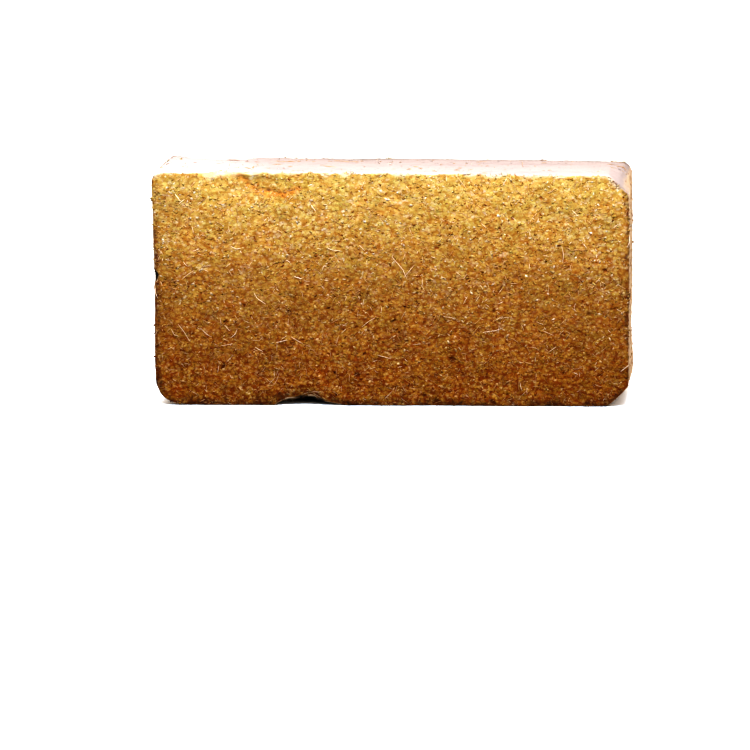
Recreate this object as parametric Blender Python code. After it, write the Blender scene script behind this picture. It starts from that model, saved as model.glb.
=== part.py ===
"""Coconut coir bale: one brick of pressed coir, standing on one of its long narrow sides.

The length runs along X, the large pressed faces look along -Y and +Y, and Z is up.
The origin is the middle of the side that the bale rests on. Sizes are in metres.
"""

import math

import bmesh
import bpy
from mathutils import Vector, noise

# Driving dimensions
LENGTH = 0.200
THICKNESS = 0.050
HEIGHT = 0.100
RIGHT_END_HEIGHT = 0.0975
HALF_LENGTH = LENGTH / 2
HALF_THICKNESS = THICKNESS / 2
HALF_HEIGHT = HEIGHT / 2

# Corners of the outline: end (-1 left, 1 right), edge (-1 lower, 1 upper), then radius and
# flatness (0 for a round corner, 1 for a straight chamfer) at the front and at the back
CORNERS = (
    (-1, -1, (0.0115, 0.0), (0.0100, 0.2)),
    (1, -1, (0.0095, 0.7), (0.0080, 0.3)),
    (1, 1, (0.0092, 0.9), (0.0048, 0.0)),
    (-1, 1, (0.0042, 0.0), (0.0050, 0.0)),
)

# Surface points: the distance between them, and the close rows next to each edge
PITCH = 0.0052
EDGE_ROWS = (0.0014, 0.0036)

# Cracks between the pressed layers, which run round the narrow sides
CRACKS = (-0.0140, 0.0025, 0.0108)
CRACK_HALF_WIDTH = 0.0007
CRACK_DEPTH = 0.0030
TOP_CRACK_SHARE = 0.3
CRACK_LEAST = 0.06
CRACK_MIDDLE = 0.22
CRACK_SWING = 1.5

# Wear, as the depth that it takes off and the share of it that stays where its noise is zero
LAYER_STEP = 0.0004
LAYER_MIDDLE = 0.3
LAYER_SWING = 1.6
SIDE_RELIEF = 0.0004
FACE_RELIEF = 0.0009
EDGE_WEAR = 0.0007
EDGE_LEAST = 0.0002
EDGE_MIDDLE = 0.55
EDGE_SWING = 0.9
EDGE_BITE = 0.0022
BITE_START = 0.22
WANDER = 0.0025
WANDER_PACE = 2.0

# Noise behind each form of wear: the size of its lumps and its seed
CRACK_NOISE = (0.038, 11)
LAYER_NOISE = (0.045, 23)
WANDER_NOISE = (0.044, 31)
WEAR_NOISE = (0.011, 41)
BITE_NOISE = (0.024, 43)
SIDE_NOISE = (0.016, 53)
FACE_NOISE = (0.019, 59)
SEED_STEP = Vector((3.17, 5.71, 1.93))

# Chips: centre, size along X, Y and Z, and the way and distance that the surface sinks
CHIPS = (
    ((-0.0385, -HALF_THICKNESS, 0.0), (0.0095, 0.0110, 0.0055), (0.0, 0.0015, 0.0030)),
    ((-0.0300, -HALF_THICKNESS, 0.0), (0.0085, 0.0080, 0.0045), (0.0, 0.0010, 0.0014)),
    ((-0.0880, -HALF_THICKNESS, HEIGHT), (0.0180, 0.0120, 0.0090), (0.0, 0.0006, -0.0012)),
    ((-0.0560, -HALF_THICKNESS, HEIGHT - 0.007), (0.0120, 0.0040, 0.0060), (0.0, 0.0012, 0.0)),
    ((-0.0760, HALF_THICKNESS, HEIGHT), (0.0150, 0.0080, 0.0070), (0.0, -0.0012, -0.0018)),
    ((0.0300, HALF_THICKNESS, 0.0), (0.0140, 0.0100, 0.0070), (0.0, -0.0015, 0.0032)),
    ((HALF_LENGTH, HALF_THICKNESS, 0.0300), (0.0060, 0.0090, 0.0120), (-0.0026, -0.0010, 0.0)),
)
CHIP_STEEPNESS = 1.6

# Colour of dry coir, as linear RGB
COIR_COLOUR = (0.25, 0.11, 0.022, 1.0)
COIR_ROUGHNESS = 0.92
SMOOTH_UP_TO = math.radians(35)

# Numbers closer than this are the same place
SAME = 1e-6
# A side whose outward direction is at least this much up or down is the upper or the resting one
UPRIGHT = 0.98


def wave(point, lumps):
    """Smooth noise from about -1 to 1, with lumps of the given size and seed."""
    size, seed = lumps
    return noise.noise(point / size + seed * SEED_STEP)


def even_cuts(half):
    """Positions from -half to half: close rows next to both edges, and even steps between them."""
    inner = half - EDGE_ROWS[-1]
    steps = round(2 * inner / PITCH)
    even = [-inner + 2 * inner * i / steps for i in range(steps + 1)]
    close = [half - row for row in EDGE_ROWS[:-1]]
    return [-place for place in close] + even + close


def layer_cuts():
    """Positions through the thickness: three close rows at each crack and one row in each layer."""
    inner = HALF_THICKNESS - EDGE_ROWS[0]
    rows = [-inner, inner]
    for crack in CRACKS:
        rows += [crack - CRACK_HALF_WIDTH, crack, crack + CRACK_HALF_WIDTH]
    bounds = [-inner, *CRACKS, inner]
    rows += [(low + high) / 2 for low, high in zip(bounds, bounds[1:])]
    return sorted(rows)


def cut_block():
    """A box with its surface divided into rows and columns, centred on the origin."""
    mesh = bmesh.new()
    bmesh.ops.create_cube(mesh, size=1.0)
    bmesh.ops.scale(mesh, vec=(LENGTH, THICKNESS, HEIGHT), verts=mesh.verts)
    planes = [(Vector((x, 0, 0)), Vector((1, 0, 0))) for x in even_cuts(HALF_LENGTH)]
    planes += [(Vector((0, y, 0)), Vector((0, 1, 0))) for y in layer_cuts()]
    planes += [(Vector((0, 0, z)), Vector((0, 0, 1))) for z in even_cuts(HALF_HEIGHT)]
    for point, normal in planes:
        everything = [*mesh.verts, *mesh.edges, *mesh.faces]
        bmesh.ops.bisect_plane(mesh, geom=everything, dist=SAME, plane_co=point, plane_no=normal)
    return mesh


def sides_of(point):
    """Which of the six sides the point of the box lies on, as -1, 0 or 1 along each axis."""
    halves = (HALF_LENGTH, HALF_THICKNESS, HALF_HEIGHT)
    return [0 if abs(value) < half - SAME else math.copysign(1, value)
            for value, half in zip(point, halves)]


def round_corner(point, end, edge, front, back):
    """Moves a point in one corner's square onto the quarter round that replaces the square.
    Returns the point and the outline's outward normal, or None where the point is elsewhere."""
    towards_back = 0.5 + point.y / THICKNESS
    radius, flatness = (a + (b - a) * towards_back for a, b in zip(front, back))
    centre_x = end * (HALF_LENGTH - radius)
    centre_z = edge * (HALF_HEIGHT - radius)
    out_x = end * (point.x - centre_x)
    out_z = edge * (point.z - centre_z)
    if out_x <= 0 or out_z <= 0:
        return None
    angle = math.atan2(out_z, out_x)
    ray = Vector((end * math.cos(angle), 0, edge * math.sin(angle)))
    chord = 1 / (math.cos(angle) + math.sin(angle))
    reach = max(out_x, out_z) * (1 + flatness * (chord - 1))
    return Vector((centre_x, point.y, centre_z)) + ray * reach, ray


def round_outline(point, sides):
    """The point on the rounded outline, and the direction out of the narrow side there."""
    for corner in CORNERS:
        rounded = round_corner(point, *corner)
        if rounded:
            return rounded
    return point.copy(), Vector((sides[0], 0, sides[2]))


def along_sides(point):
    """The point without its place through the thickness, so that a whole row shares its noise."""
    return Vector((point.x, 0, point.z))


def crack_depth(point, row_y):
    """How deep the surface is cut where this row of points lies in a crack."""
    size, seed = CRACK_NOISE
    for number, crack in enumerate(CRACKS):
        if abs(row_y - crack) < SAME:
            opened = CRACK_MIDDLE + CRACK_SWING * wave(along_sides(point), (size, seed + number))
            return CRACK_DEPTH * min(max(opened, CRACK_LEAST), 1.0)
    return 0.0


def layer_depth(point, row_y):
    """How far this pressed layer stands back behind its neighbours on the narrow sides."""
    size, seed = LAYER_NOISE
    layer = sum(row_y > crack for crack in CRACKS)
    set_back = LAYER_MIDDLE + LAYER_SWING * wave(along_sides(point), (size, seed + layer))
    return LAYER_STEP * max(0.0, set_back)


def wander(point):
    """How far the layers wave through the thickness, so that no crack is a straight line."""
    fade = 1 - (point.y / HALF_THICKNESS) ** 2
    return fade * WANDER * wave(Vector((point.x, WANDER_PACE * point.y, point.z)), WANDER_NOISE)


def edge_depth(point):
    """How much is worn off an edge: always a little, and now and then a larger bite."""
    wear = EDGE_WEAR * (EDGE_MIDDLE + EDGE_SWING * wave(point, WEAR_NOISE))
    bite = EDGE_BITE * max(0.0, wave(point, BITE_NOISE) - BITE_START)
    return max(wear, EDGE_LEAST) + bite


def chip_move(point):
    """The sum of what the chips move this point by."""
    moved = Vector((0, 0, 0))
    for centre, size, sink in CHIPS:
        away = [(p - c) / s for p, c, s in zip(point, centre, size)]
        share = 1 - sum(a * a for a in away)
        if share > 0:
            moved += Vector(sink) * min(1.0, CHIP_STEEPNESS * share)
    return moved


def lowered(point):
    """The point moved down as far as the bale's height falls off towards its right end."""
    towards_right = (point.x + HALF_LENGTH) / LENGTH
    return Vector((point.x, point.y, point.z * (1 + towards_right * (RIGHT_END_HEIGHT / HEIGHT - 1))))


def worn_point(box_point):
    """Where a point of the plain box lies on the finished bale, with Z from the resting side."""
    sides = sides_of(box_point)
    point, side_out = round_outline(box_point, sides)
    on_narrow_side = bool(sides[0] or sides[2])
    on_large_face = bool(sides[1])
    rests = side_out.z < -UPRIGHT
    faces_up = side_out.z > UPRIGHT
    row_y = box_point.y
    point.y += wander(box_point)
    if on_narrow_side and on_large_face:
        inward = (side_out.normalized() + Vector((0, sides[1], 0))) * -edge_depth(point)
    elif on_narrow_side:
        depth = crack_depth(point, row_y) * (TOP_CRACK_SHARE if faces_up else 1)
        if not rests:
            depth = max(depth, layer_depth(point, row_y))
            depth += SIDE_RELIEF * max(0.0, wave(point, SIDE_NOISE))
        inward = side_out.normalized() * -depth
    else:
        inward = Vector((0, -sides[1] * FACE_RELIEF * max(0.0, wave(point, FACE_NOISE)), 0))
    lifted = point + inward + Vector((0, 0, HALF_HEIGHT))
    return lowered(lifted + chip_move(lifted))


def coir_material():
    """Dry, rough, golden-brown coir."""
    material = bpy.data.materials.new("coir")
    material.use_nodes = True
    shader = material.node_tree.nodes["Principled BSDF"]
    shader.inputs["Base Color"].default_value = COIR_COLOUR
    shader.inputs["Roughness"].default_value = COIR_ROUGHNESS
    shader.inputs["Metallic"].default_value = 0.0
    return material


def make_bale(collection):
    """The whole bale, which is one pressed piece."""
    block = cut_block()
    places = {vertex: worn_point(vertex.co) for vertex in block.verts}
    for vertex, place in places.items():
        vertex.co = place
    bmesh.ops.recalc_face_normals(block, faces=block.faces)
    mesh = bpy.data.meshes.new("coir_bale")
    block.to_mesh(mesh)
    block.free()
    mesh.materials.append(coir_material())
    mesh.shade_smooth()
    mesh.set_sharp_from_angle(angle=SMOOTH_UP_TO)
    bale = bpy.data.objects.new("coir_bale", mesh)
    collection.objects.link(bale)
    return bale


def main():
    """Clears the scene and builds the bale in a collection of its own."""
    for existing in list(bpy.data.objects):
        bpy.data.objects.remove(existing)
    collection = bpy.data.collections.new("coconut_coir_bale")
    bpy.context.scene.collection.children.link(collection)
    make_bale(collection)


main()
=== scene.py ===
"""Looks of the coconut coir bale: its granular pressed surface, its loose crumbs and fibres, and the studio.

The bale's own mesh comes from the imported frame. Crumbs and fibres are real meshes that lie on it.
Sizes are in metres. The large faces look along -Y and +Y, and the length runs along X.
"""
import itertools
import math

import bmesh
import bpy
import numpy as np
from mathutils import Matrix, Vector
from mathutils.bvhtree import BVHTree


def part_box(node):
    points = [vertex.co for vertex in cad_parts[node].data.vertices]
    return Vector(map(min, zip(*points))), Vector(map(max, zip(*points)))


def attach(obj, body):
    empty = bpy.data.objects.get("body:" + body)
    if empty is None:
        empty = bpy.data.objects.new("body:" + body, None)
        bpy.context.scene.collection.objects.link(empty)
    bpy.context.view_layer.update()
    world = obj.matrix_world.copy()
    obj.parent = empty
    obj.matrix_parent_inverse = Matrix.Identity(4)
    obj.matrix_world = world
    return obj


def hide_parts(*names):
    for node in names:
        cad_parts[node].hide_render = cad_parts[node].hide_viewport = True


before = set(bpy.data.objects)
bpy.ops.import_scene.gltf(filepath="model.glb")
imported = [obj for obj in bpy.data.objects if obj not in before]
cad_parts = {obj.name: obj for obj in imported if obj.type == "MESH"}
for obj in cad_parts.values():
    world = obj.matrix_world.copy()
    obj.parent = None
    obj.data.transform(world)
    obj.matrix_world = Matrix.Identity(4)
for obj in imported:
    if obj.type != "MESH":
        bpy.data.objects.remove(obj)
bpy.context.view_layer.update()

MM = 0.001
NODE = "coir_bale"
LOW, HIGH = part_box(NODE)
HEIGHT = (HIGH - LOW).z
FRONT_Y = LOW.y
BACK_Y = HIGH.y
# Each side of the bale, as the axis that it faces along and the sign
SIDES = {"left": (0, -1), "right": (0, 1), "front": (1, -1), "back": (1, 1), "bottom": (2, -1), "top": (2, 1)}
TINY = 1e-12

# Camera, worked out from the photograph's perspective and the bale's outline in it
CAMERA_AZIMUTH = 4.87
CAMERA_ELEVATION = 9.6
CAMERA_ROLL = -0.62
CAMERA_DISTANCE = 2.0
CAMERA_AIM = Vector((-0.0089, 0.0, 0.0090))
CAMERA_LENS = 225.9
CAMERA_SENSOR = 36.0
CAMERA_SEES_TO = 50.0

# Light: a long lamp close to the upper front edge, before and above it, and a far one behind, in a pale
# room with a bright ceiling. Each lamp has its place, aim, size, spread in degrees, power and colour.
LAMPS = {
    "key": ((0.0, -0.090, 0.159), (0.0, -0.024, 0.093), (0.27, 0.09), 68.0, 0.36, (0.80, 1.0, 1.24)),
    "back": ((0.0, 1.0, 0.42), (0.0, 0.0, 0.05), (0.8, 0.5), 60.0, 2.0, (1.0, 0.96, 0.90)),
}
ROOM_COLOUR = (1.0, 0.99, 0.975)
ROOM_WALLS = 0.50
ROOM_CEILING = 1.45
ROOM_FOCUS = 1.5
FLOOR_SIZE = 12.0
FLOOR_COLOUR = (0.76, 0.76, 0.76, 1.0)
VIEW_LOOK = "Very High Contrast"

# Body: spacing of its points and the most triangles it keeps
BODY_VOXEL = 0.62 * MM
BODY_TRIANGLES = 190000
WELD_DISTANCE = 1e-6
# Relief in layers, each with the size of its lumps, their height and a seed
FACE_RELIEF = ((1.8 * MM, 0.13 * MM, 5), (3.4 * MM, 0.19 * MM, 6), (7.5 * MM, 0.11 * MM, 9))
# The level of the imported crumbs' noise that stays on the plain surface
PACKED_LEVEL = 0.75
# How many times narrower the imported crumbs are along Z
FLATTENED = 1.3
SIDE_RELIEF = ((1.1 * MM, 0.05 * MM, 7), (3.4 * MM, 0.10 * MM, 8))
# How the layers that show on the narrow sides are drawn out along X, Y and Z
LAYER_DRAW = (0.09, 1.0, 0.09)
PIT_DEPTH = 0.6 * MM
# Random pits: the size of a cell, the share of cells with a pit, its radius in cells and a seed,
# and how much the radius varies
RANDOM_PITS = (3.0 * MM, 0.11, 0.24, 91)
SPOT_RADII = (0.5, 1.0)
# Where a kind of surface begins, as the cosine of the way it faces, and over how much it comes in
RELIEF_FACING = (0.55, 0.35)
LARGE_FACING = (0.35, 0.4)
TOP_FACING = (0.3, 0.4)

# Seed of everything that is scattered
SCATTER_SEED = 20

# Loose crumbs: how many lie on each side, the range of their length and height, and their width in lengths
CRUMBS_PER_SIDE = {"front": 17000, "back": 15000, "top": 500, "bottom": 300, "left": 500, "right": 500}
CRUMB_LENGTH = (0.9 * MM, 3.2 * MM)
CRUMB_WIDTH = (0.28, 0.62)
CRUMB_HEIGHT = (0.08 * MM, 0.22 * MM)
# The higher this is, the more of them are short
CRUMB_SHORTNESS = 2.2
CRUMB_TILT = 0.08
CRUMB_SINK = 0.4
# How squarely the surface under a crumb faces its side, as the least cosine
CRUMB_FACING_FRONT = 0.6
CRUMB_FACING = 0.9
# How much crumbs are drawn to the level, and how deep in a pit one may still lie
CRUMB_LEVEL = 0.45
CRUMB_PIT_LIMIT = 0.25
# A crumb is a ring of points round its centre, a top and a foot. These vary the ring's angles,
# its reach, and its height in crumb heights.
RING = 5
RING_STEPS = np.arange(RING)
RING_JITTER = 0.3
RING_REACH = (0.6, 1.0)
RING_RISE = (-0.15, 0.35)
CRUMB_POINTS = 2 + RING
CRUMB_TRIANGLES = np.array(
    [(0, 2 + i, 2 + (i + 1) % RING) for i in RING_STEPS]
    + [(1, 2 + (i + 1) % RING, 2 + i) for i in RING_STEPS]
)
# Tones of the crumbs: their middle, variety and limits, and the shares that are very dark or very pale
TONE_MIDDLE = 0.5
TONE_VARIETY = 0.21
TONE_LIMITS = (0.12, 0.88)
DARK_SHARE = 0.02
PALE_SHARE = 0.003

# Fibres: how many on each side, then the range of their length and radius, points along each,
# sides round each, and how much they bend
SHORT_FIBRES = {"front": 2600, "back": 2600, "top": 130, "bottom": 90, "left": 110, "right": 110}
SHORT_SPAN = (1.2 * MM, 4.6 * MM)
SHORT_RADIUS = (0.06 * MM, 0.15 * MM)
SHORT_SHAPE = (4, 3, 0.12)
LONG_FIBRES = {"front": 30, "back": 110, "top": 16, "bottom": 12, "left": 14, "right": 14}
LONG_SPAN = (5.0 * MM, 11.0 * MM)
LONG_RADIUS = (0.07 * MM, 0.15 * MM)
LONG_SHAPE = (10, 4, 0.05)
FIBRE_SHORTNESS = 2
FIBRE_LIFT = (0.05 * MM, 0.20 * MM)
# The share of fibres with a free end, and how far it rises
FREE_SHARE = 0.2
FREE_RISE = (0.3 * MM, 1.2 * MM)
# A fibre's waviness in bends, its arch and the dip of its ends in lifts, and how thin its ends get
FIBRE_WAVE = 0.6
ARCH_HEIGHT = 1.5
ARCH_DIP = 0.5
TAPER = 0.65
TAPER_POWER = 3
FIBRE_TONES = (0.47, 0.2)
FRONT_FIBRE_TONES = (0.7, 0.95)

# How far the relief and each kind of mark are pushed about, with a seed, and how wide the waves of it
# are in those distances
RAGGED_RELIEF = (0.6 * MM, 1)
RAGGED_PITS = (0.7 * MM, 61)
RAGGED_GRIME_AND_SHADE = (0.8 * MM, 73)
RAGGED_STAIN = (0.8 * MM, 71)
RAGGED_RIM = (1.4 * MM, 67)
RAGGED_PALE = (1.5 * MM, 79)
RAGGED_WAVES = 2.5
# How many widths from its line or rim a mark ends. It has its full strength up to one width less.
SCAR_END = 1.0
STAIN_END = 1.3
RIM_END = 1.5
BACK_RIM_END = 1.8
BACK_RIM_START = 1.4
PALE_END = 1.4
# How steeply pits and black places set in, and how deep behind the front its marks reach
SPOT_GAIN = 3.0
FRONT_DEPTH = 4.0 * MM

# Marks of the front face, as X and Z in millimetres from the middle of its lower edge
SCAR = ((-62.1, 97.2), (-59.0, 93.7), (-55.6, 91.5), (-49.7, 90.7), (-45.0, 89.4), (-37.9, 92.0))
# Half the scar's width in millimetres
SCAR_HALF_WIDTH = 1.4
SCAR_DEPTH = 0.5 * MM
HOLE_PLACE = (-99.1, 54.9)
HOLE_SIZE = (2.0, 2.9)
HOLE_DEPTH = 1.5 * MM
# The notch goes deeper, so its place and size are given along X, Y and Z
NOTCH_PLACE = (-36.5, FRONT_Y / MM, 0.0)
NOTCH_SIZE = (11.0, 14.0, 4.0)
# Painted shade on the upper left corner of the front, where it curves away from the light
SHADED_CORNER_PLACE = (-94.4, 89.9)
SHADED_CORNER_SIZE = (17.0, 20.0)
SHADED_CORNER_SHARE = 0.35
# A patch of painted highlight at the upper edge
PALE_PLACE = (-70.1, 100.8)
PALE_SIZE = (12.0, 4.0)
# Dark rims of the front face, partly wear and partly painted shade where its rounded edges turn away from the
# light: each side, and the rim's width in millimetres at the given heights
RIMS = (
    ("left", (2.8, 1.6, 1.2), (0.0, 30.0, 100.0)),
    ("right", (0.8, 0.8), (0.0, 100.0)),
    ("bottom", (2.1, 2.1), (0.0, 100.0)),
)
RIM_REACH = 14.0 * MM
# Width of the painted highlight along the upper edge in millimetres
HIGHLIGHT_WIDTH = 0.8
# Painted shade along the back edge of the upper side, where the light from the front falls off: its width,
# how far it fades out towards the left, and its strength
BACK_RIM = 3.0 * MM
BACK_RIM_FADE = 0.03
BACK_RIM_SHARE = 0.8
# From where to where along X the upper side turns from pale to grey, as painted light
TOP_FADE = (-0.084, -0.052)
# Pits as X, Z and radius, and how much of the radius they reach along X and Z. They are sunk into the relief
# and darkened with painted shade.
PIT_OUTLINE = (0.85, 0.6)
PITS = (
    (-85.1, 50.3, 1.2), (-69.6, 35.8, 1.2), (-61.9, 42.6, 1.1), (-14.5, 33.3, 1.3), (-9.5, 32.1, 1.2),
    (1.7, 36.0, 1.7), (25.9, 19.8, 2.0), (82.9, 39.1, 1.4), (43.0, 39.9, 1.2), (92.6, 41.2, 0.9),
    (45.7, 75.1, 1.2), (44.6, 83.1, 1.0), (51.7, 79.3, 1.1), (-22.2, 91.6, 1.1), (8.1, 93.3, 1.0),
    (63.1, 88.2, 1.0), (-14.3, 13.2, 1.5), (14.0, 4.7, 1.4), (19.5, 1.8, 1.8), (42.3, 1.9, 1.8),
    (19.7, 67.0, 1.4), (89.7, 57.8, 1.5), (-70.8, 16.5, 1.3), (-59.4, 94.1, 1.0), (-50.6, 91.2, 1.2),
)
# Pale crumbs
FLECKS = (
    (-81.8, 21.6), (-52.2, 34.1), (68.3, 67.5), (-34.2, 55.5), (-37.2, 76.8), (-61.4, 70.4),
    (-49.7, 67.0), (14.3, 39.4), (27.0, 42.8), (34.2, 47.9), (-19.4, 53.8), (16.7, 12.1), (37.7, 10.4),
    (58.5, 20.8),
)
# Pale fibres, as the corners of each
FRONT_FIBRES = (
    ((-88.1, 53.3), (-85.0, 55.8), (-82.4, 57.5)), ((-90.0, 89.9), (-87.5, 86.5)),
    ((-88.8, 85.2), (-85.8, 87.7)), ((-57.5, 48.2), (-55.9, 45.6), (-52.1, 43.0)),
    ((-70.1, 34.5), (-67.5, 31.5)), ((-48.5, 26.8), (-43.4, 28.1)), ((-42.1, 29.4), (-37.0, 26.4)),
    ((-80.3, 33.1), (-77.8, 30.6), (-75.3, 28.9)), ((-92.7, 33.1), (-91.4, 30.1), (-89.3, 29.3)),
    ((-90.1, 35.2), (-87.2, 31.5), (-84.3, 26.3)), ((-32.9, 85.2), (-30.8, 82.3)),
    ((-26.8, 67.4), (-24.3, 66.2), (-20.1, 65.7)), ((-12.8, 68.3), (-10.3, 65.7)),
    ((-20.9, 30.8), (-18.7, 32.9)), ((-12.4, 33.3), (-9.3, 35.9), (-6.4, 37.6)),
    ((0.2, 64.1), (5.3, 58.1), (7.3, 53.4)), ((12.8, 51.7), (14.5, 48.8)), ((76.0, 83.2), (78.9, 80.2)),
    ((37.5, 31.3), (43.9, 32.2), (47.6, 33.5)), ((63.6, 32.3), (68.7, 30.1)),
    ((-67.0, 67.8), (-64.5, 66.5), (-62.4, 66.9)), ((-3.0, 2.9), (0.5, 6.4)),
    ((-100.0, 50.3), (-97.9, 45.5)), ((-57.5, 25.1), (-53.7, 22.9)), ((-6.1, 21.8), (0.2, 20.1)),
    ((96.0, 14.9), (99.7, 17.8)), ((71.8, 68.0), (72.6, 64.1), (72.1, 60.3)),
)
FRONT_FIBRE_RADIUS = (0.09 * MM, 0.15 * MM)

# Colours, as linear RGB
CHAFF = (0.40, 0.27, 0.168)
TAN = (0.285, 0.180, 0.110)
GOLD = (0.225, 0.118, 0.027)
AMBER = (0.172, 0.071, 0.0095)
RUST = (0.125, 0.032, 0.0025)
UMBER = (0.060, 0.014, 0.0015)
# Black of the dirt and painted shade in the hole and the notch
GRIME_AND_SHADE_BLACK = (0.008, 0.007, 0.006)
SCAR_ORANGE = (0.235, 0.080, 0.011)
# Colour of the rims' wear and painted shade
RIM_WEAR_AND_SHADE = (0.026, 0.009, 0.004)
# Colour of the painted highlight along the upper edge
EDGE_HIGHLIGHT = (0.30, 0.23, 0.17)
SIDE_PALE = (0.41, 0.275, 0.165)
SIDE_TAN = (0.35, 0.225, 0.128)
SIDE_BROWN = (0.20, 0.105, 0.050)
# Painted light on the upper side: greyer tones for how the strong light above washes it out, paler towards
# the left end
TOP_TONE = (0.139, 0.099, 0.086)
TOP_PALE = (0.195, 0.150, 0.132)
FIBRE_PALE = (0.48, 0.33, 0.23)
FIBRE_TAN = (0.25, 0.125, 0.048)
FIBRE_BROWN = (0.10, 0.036, 0.011)

# How the large faces' colour is multiplied from their lower to their upper edge, and from patch to patch. The
# change with height is painted light: paler and bluer towards the upper edge for the strong light from above,
# and redder towards the lower edge for the warm light bounced up from below.
LOWER_TINT = (0.93, 0.85, 0.62)
MIDDLE_TINT = (0.78, 0.82, 0.84)
UPPER_TINT = (0.87, 1.11, 1.54)
OLIVE_TINT = (0.97, 1.03, 0.95)
ORANGE_TINT = (1.03, 0.94, 0.86)
NO_TINT = (1.0, 1.0, 1.0)
DARK_TUFT = (0.76, 0.62, 0.36)
PALE_TUFT = (1.19, 1.24, 1.40)
# How far tones are drawn apart near the lower and the upper edge
TONE_SPREAD = (1.22, 0.76)

# Colour ramps, as stops with a position and a colour
FACE_RAMP = ((0.12, RUST), (0.34, AMBER), (0.58, GOLD), (0.88, TAN))
SIDE_RAMP = ((0.30, SIDE_BROWN), (0.44, SIDE_TAN), (0.60, SIDE_PALE))
CRUMB_RAMP = ((0.06, UMBER), (0.20, RUST), (0.42, AMBER), (0.62, GOLD), (0.80, TAN), (0.97, CHAFF))
CRUMB_SIDE_RAMP = ((0.10, SIDE_BROWN), (0.45, SIDE_TAN), (0.90, SIDE_PALE))
FIBRE_RAMP = ((0.10, FIBRE_BROWN), (0.55, FIBRE_TAN), (0.90, FIBRE_PALE))
# Painted light by height on the large faces
TINT_RAMP = ((0.0, LOWER_TINT), (0.45, MIDDLE_TINT), (1.0, UPPER_TINT))
HUE_RAMP = ((0.36, OLIVE_TINT), (0.50, NO_TINT), (0.66, ORANGE_TINT))
TUFT_RAMP = ((0.32, DARK_TUFT), (0.68, PALE_TUFT))

# Noise in the materials, as period, detail, roughness and seed
NOISES = {
    "uneven": (0.012, 3.0, 0.6, 11.0),
    "wide": (0.022, 2.0, 0.5, 31.0),
    "narrow": (0.0065, 3.0, 0.6, 37.0),
    "tufts": (0.0030, 2.0, 0.6, 39.0),
    "hue": (0.008, 3.0, 0.65, 17.0),
    "fine": (0.0011, 2.0, 0.6, 41.0),
    "broken": (0.0020, 2.0, 0.6, 43.0),
    "packed": (0.0018, 3.0, 0.6, 0.0),
    "grain": (0.0005, 4.0, 0.65, 0.0),
    "mottle": (0.009, 3.0, 0.6, 3.0),
    "cracks": (0.0016, 3.0, 0.6, 51.0),
    "scrapes": (0.0008, 2.0, 0.5, 53.0),
    "crumb": (0.0004, 3.0, 0.65, 0.0),
    "streak": (0.0009, 2.0, 0.5, 0.0),
    "floor": (0.02, 2.0, 0.5, 0.0),
}
# What a pattern is stretched from and to, as low, high, new low and new high
SPANS = {
    "level": (0.1 * HEIGHT, 0.95 * HEIGHT, 0.0, 1.0),
    "tone_spread": (0.0, 1.0, *TONE_SPREAD),
    "mottling": (0.0, 1.0, 1.0, 0.55),
    "wide": (0.32, 0.68, 0.96, 1.03),
    "narrow": (0.30, 0.70, 0.78, 1.18),
    "fine": (0.4, 0.6, 0.0, 1.0),
    "broken": (0.42, 0.58, 0.25, 0.95),
    "top_fade": (*TOP_FADE, 0.0, 1.0),
    # Painted shade in the gaps between crumbs: how strong it is by height, and where it sets in
    "gap_shade_depth": (0.0, 1.0, 1.0, 0.35),
    "gaps": (0.35, 0.75, 0.0, 1.0),
    "fine_gap_shade": (0.45, 0.85, 0.0, 0.6),
    "evened": (0.35, 0.7, 0.2, 0.6),
    "cracks": (0.60, 0.68, 0.0, 1.0),
    "scrapes": (0.35, 0.65, 0.0, 1.0),
    "large": (0.55, 0.95, 0.0, 1.0),
    "pith_roughness": (0.3, 0.7, 0.80, 0.98),
    "crumb_roughness": (0.3, 0.7, 0.78, 0.95),
    "fibre_roughness": (0.3, 0.7, 0.55, 0.8),
    "floor_roughness": (0.3, 0.7, 0.85, 0.95),
}
# Packed crumbs and grains of the pith: the size of their cells, and the period and size of the warp
CRUMB_CELL = 0.0016
GRAIN_CELL = 0.0007
CELL_WARP = (0.0030, 0.0011)
LAYER_WARP = (0.006, 0.0014)
CELL_STRETCH = (1.0, 1.0, FLATTENED)
PATCH_STRETCH = (1.0, 1.0, 1.9)
UNEVEN_SIZE = 0.022
# How strongly each part of a look comes in
CELL_TONE = 0.55
PACKED_TONE = 0.45
OWN_TONE = 0.85
GRAIN_TONE = 0.15
# Painted shade in pits and gaps: its strength in pits, and how far it turns from umber to rust towards the
# upper edge
PIT_SHADE_SHARE = 0.9
GAP_SHADE_WARMTH = 0.8
CRACK_SHARE = 0.65
SCRAPE_SHARE = 0.35
HIGHLIGHT_STRENGTH = 0.5
STAIN_STRENGTH = 0.75
# How far the upper side takes its painted light tones
GREY_SHARE = 0.9
EDGE_MOTTLE = 0.5
# How much each pattern raises or lowers the bump
GRAIN_BUMP = 0.5
CELL_BUMP = 0.6
FINE_CELL_BUMP = 0.35
SCRAPE_BUMP = 0.3
CRACK_BUMP = 0.8
# Height and strength of each material's bump
PITH_BUMP = (0.00035, 0.5)
CRUMB_BUMP = (0.00020, 0.5)
FIBRE_BUMP = (0.0001, 0.5)
FLOOR_BUMP = (0.0002, 0.1)
SPECULAR = 0.08
# Places of the colour and number sockets of a mix node
MIX_COLOURS = (6, 7)
MIX_COLOUR_OUT = 2
MIX_NUMBERS = (2, 3)

# Cells of the repeating random lattice behind the noise
LATTICE = 48


def unit(rows):
    """Each row of an array as a vector of length 1."""
    return rows / np.maximum(np.linalg.norm(rows, axis=-1, keepdims=True), TINY)


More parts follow.
